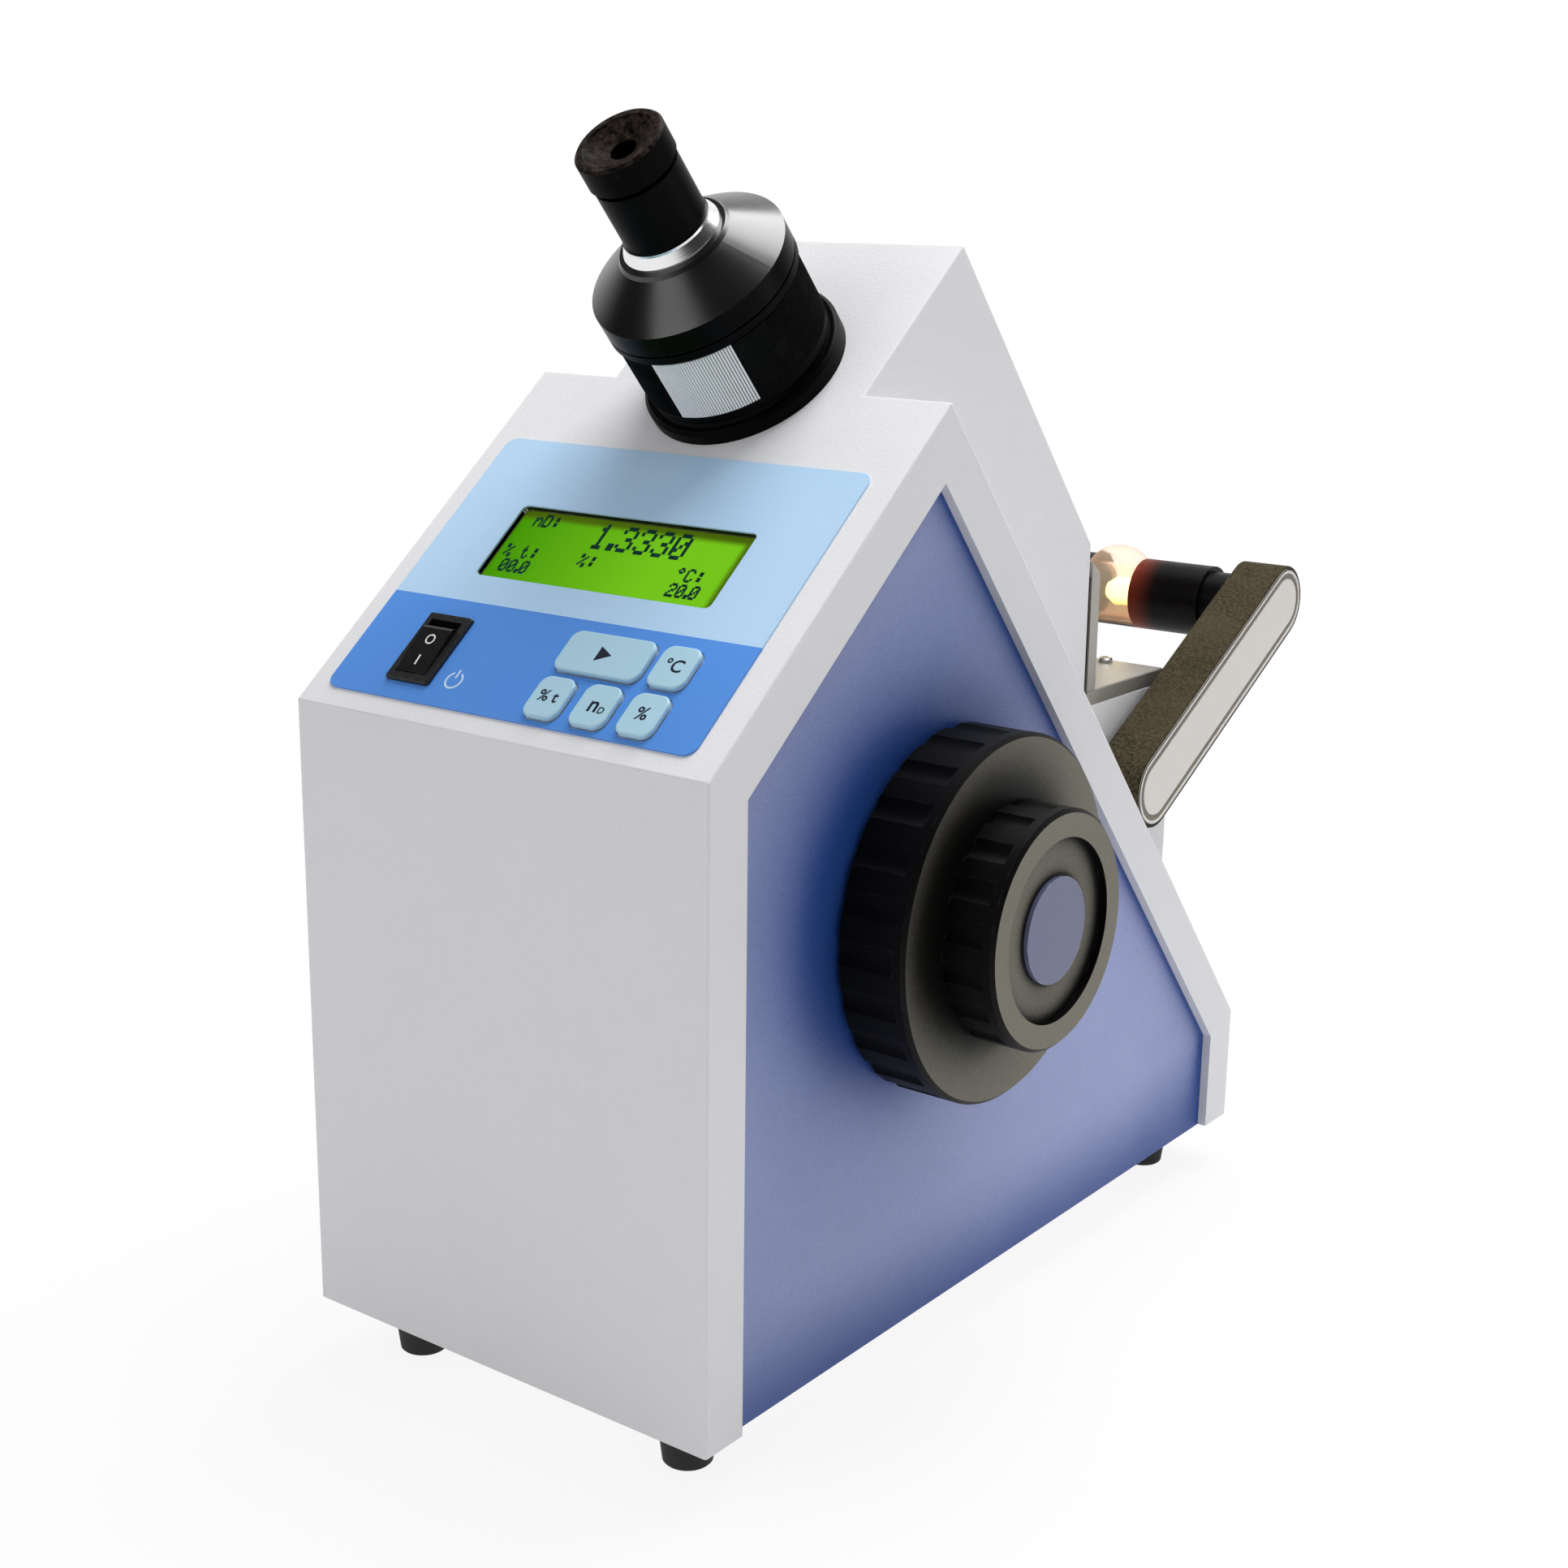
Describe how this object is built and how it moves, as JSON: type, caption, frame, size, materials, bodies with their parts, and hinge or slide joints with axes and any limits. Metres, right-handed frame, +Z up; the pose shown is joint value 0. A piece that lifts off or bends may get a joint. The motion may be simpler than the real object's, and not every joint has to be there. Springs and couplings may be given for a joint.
{
  "type": "abbe refractometer",
  "caption": "Bench refractometer: wedge housing with display and keys, sighting telescope, side handwheel, hinged prisms on a rear stage and a lamp on a swinging arm.",
  "frame": {"origin": "on the bench, midway between the four feet, in the housing's middle plane", "axes": "+X to the operator's right, where the handwheel is; +Y to the rear; +Z up"},
  "size_m": [0.1988, 0.3831, 0.3894],
  "materials": {
    "white_paint": "fine-textured off-white baked paint",
    "blue_paint": "fine-speckled blue-violet baked paint",
    "zinc_steel": "zinc-plated sheet steel",
    "rubber": "matt moulded rubber",
    "screw_steel": "bright zinc",
    "overlay_blue": "printed polyester overlay in two blues",
    "clear_pane": "clear acrylic",
    "display_green": "backlit yellow-green display",
    "key_blue": "satin pale blue silicone",
    "board_green": "solder mask",
    "switch_black": "satin black nylon",
    "black_anodised": "satin black anodised",
    "black_plastic": "satin black plastic",
    "bright_aluminium": "turned, bright",
    "optical_glass": "polished",
    "knob_black": "fine-textured black ABS",
    "cap_blue": "satin blue insert",
    "shaft_steel": "ground steel",
    "gear_brass": "cut brass",
    "bush_bronze": "sintered bronze",
    "cast_aluminium": "sand-cast, machined",
    "silvered_glass": "front-silvered",
    "stage_nickel": "satin nickel plate",
    "gasket_rubber": "closed-cell strip",
    "arm_black": "coarse-textured black plastic",
    "arm_white": "satin warm white",
    "lamp_glass": "pink-tinted glass, lit",
    "bulb_glass": "lit warm glass",
    "iron_laminate": "varnished laminations"
  },
  "bodies": {
    "stand": {"housing": "white_paint", "left_panel": "blue_paint", "right_panel": "blue_paint", "base_plate": "zinc_steel", "feet": "rubber", "foot_screws": "screw_steel", "panel_overlay": "overlay_blue", "display_window": "clear_pane", "display_module": "display_green", "key_board": "board_green", "switch_bezel": "switch_black", "telescope_flange": "black_anodised", "telescope_tube": "black_anodised", "telescope_head": "black_anodised", "eyepiece_ring": "bright_aluminium", "telescope_lenses": "optical_glass", "encoder_head": "black_plastic", "optics_chassis": "cast_aluminium", "shaft_bush": "bush_bronze", "main_board": "board_green", "transformer": "iron_laminate", "power_inlet": "switch_black", "serial_socket": "zinc_steel", "stage_plate": "stage_nickel", "stage_screws": "screw_steel", "prism_plate": "stage_nickel", "plate_gasket": "gasket_rubber", "measuring_jacket": "black_anodised", "measuring_prism": "optical_glass", "hinge_pin": "shaft_steel", "arm_pivot": "shaft_steel"},
    "handwheel": {"handwheel": "knob_black", "handwheel_cap": "cap_blue", "pinion_shaft": "shaft_steel"},
    "mirror": {"mirror_holder": "cast_aluminium", "fold_mirror": "silvered_glass", "sector_gear": "gear_brass", "encoder_disc": "optical_glass"},
    "dispersion_wheel": {"dispersion_wheel": "black_anodised", "amici_prism_upper": "optical_glass"},
    "counter_prism": {"amici_prism_lower": "optical_glass"},
    "compensator_idler": {"compensator_idler": "gear_brass"},
    "eyepiece": {"eyepiece_tube": "black_anodised", "eyecup": "black_plastic"},
    "lens_cell": {"lens_cell": "black_anodised", "eyepiece_lenses": "optical_glass"},
    "upper_prism": {"illuminating_jacket": "black_anodised", "illuminating_prism": "optical_glass"},
    "prism_latch": {"prism_latch": "bright_aluminium"},
    "lamp_arm": {"lamp_arm": "arm_black", "arm_cover": "arm_white"},
    "lamp": {"lamp_tube": "arm_black", "lamp_window": "lamp_glass", "lamp_bulb": "bulb_glass"},
    "power_rocker": {"power_rocker": "switch_black"},
    "key_start": {"key_start": "key_blue"},
    "key_temperature": {"key_temperature": "key_blue"},
    "key_left": {"key_left": "key_blue"},
    "key_middle": {"key_middle": "key_blue"},
    "key_right": {"key_right": "key_blue"}
  },
  "joints": [
    {"name": "handwheel_turn", "type": "hinge", "parent": "stand", "child": "handwheel", "pos_m": [0, -0.0429, 0.1539], "axis": [1, 0, 0], "range_deg": [-150, 150]},
    {"name": "mirror_tilt", "type": "hinge", "parent": "stand", "child": "mirror", "pos_m": [0, 0.0453, 0.20302], "axis": [1, 0, 0], "range_deg": [-15.8, 15.8]},
    {"name": "dispersion_turn", "type": "hinge", "parent": "stand", "child": "dispersion_wheel", "pos_m": [0.0005, -0.04547, 0.31299], "axis": [0, -0.6658, 0.7462], "range_deg": [-80, 80]},
    {"name": "counter_prism_turn", "type": "hinge", "parent": "stand", "child": "counter_prism", "pos_m": [0.0005, -0.04547, 0.31299], "axis": [0, -0.6658, 0.7462], "range_deg": [-80.5, 80.5]},
    {"name": "idler_turn", "type": "hinge", "parent": "stand", "child": "compensator_idler", "pos_m": [0.0005, -0.05017, 0.31825], "axis": [1, 0, 0], "range_deg": [-172, 172]},
    {"name": "eyepiece_turn", "type": "hinge", "parent": "stand", "child": "eyepiece", "pos_m": [0.0005, -0.04547, 0.31299], "axis": [0, -0.6658, 0.7462], "range_deg": [-124, 124]},
    {"name": "lens_cell_slide", "type": "slide", "parent": "stand", "child": "lens_cell", "axis": [0, -0.6658, 0.7462], "range_m": [-0.0025, 0.0025]},
    {"name": "prism_lid", "type": "hinge", "parent": "stand", "child": "upper_prism", "pos_m": [-0.0281, 0, 0.21857], "axis": [0, -1, 0], "range_deg": [0, 100]},
    {"name": "latch_turn", "type": "hinge", "parent": "stand", "child": "prism_latch", "pos_m": [0, 0.114, 0.2065], "axis": [1, 0, 0], "range_deg": [0, 40]},
    {"name": "lamp_arm_swing", "type": "hinge", "parent": "stand", "child": "lamp_arm", "pos_m": [0.0489, 0.10804, 0.1592], "axis": [1, 0, 0], "range_deg": [-65, 60]},
    {"name": "lamp_turn", "type": "hinge", "parent": "lamp_arm", "child": "lamp", "pos_m": [0, 0.20686, 0.21113], "axis": [1, 0, 0], "range_deg": [-90, 90]},
    {"name": "power_switch", "type": "hinge", "parent": "stand", "child": "power_rocker", "pos_m": [-0.0422, -0.13956, 0.23014], "axis": [1, 0, 0], "range_deg": [-12, 0]},
    {"name": "key_start_press", "type": "slide", "parent": "stand", "child": "key_start", "axis": [0, 0.6366, -0.7712], "range_m": [0, 0.0006], "stiffness_N_per_m": 1500, "springref_m": -0.0002},
    {"name": "key_temperature_press", "type": "slide", "parent": "stand", "child": "key_temperature", "axis": [0, 0.6366, -0.7712], "range_m": [0, 0.0006], "stiffness_N_per_m": 1500, "springref_m": -0.0002},
    {"name": "key_left_press", "type": "slide", "parent": "stand", "child": "key_left", "axis": [0, 0.6366, -0.7712], "range_m": [0, 0.0006], "stiffness_N_per_m": 1500, "springref_m": -0.0002},
    {"name": "key_middle_press", "type": "slide", "parent": "stand", "child": "key_middle", "axis": [0, 0.6366, -0.7712], "range_m": [0, 0.0006], "stiffness_N_per_m": 1500, "springref_m": -0.0002},
    {"name": "key_right_press", "type": "slide", "parent": "stand", "child": "key_right", "axis": [0, 0.6366, -0.7712], "range_m": [0, 0.0006], "stiffness_N_per_m": 1500, "springref_m": -0.0002}
  ],
  "couplings": [
    {"joint": "mirror_tilt", "follows": "handwheel_turn", "ratio": -0.10465},
    {"joint": "counter_prism_turn", "follows": "dispersion_turn", "ratio": -1},
    {"joint": "idler_turn", "follows": "dispersion_turn", "ratio": -2.1429},
    {"joint": "eyepiece_turn", "follows": "lens_cell_slide", "rad_per_m": 837.76}
  ]
}
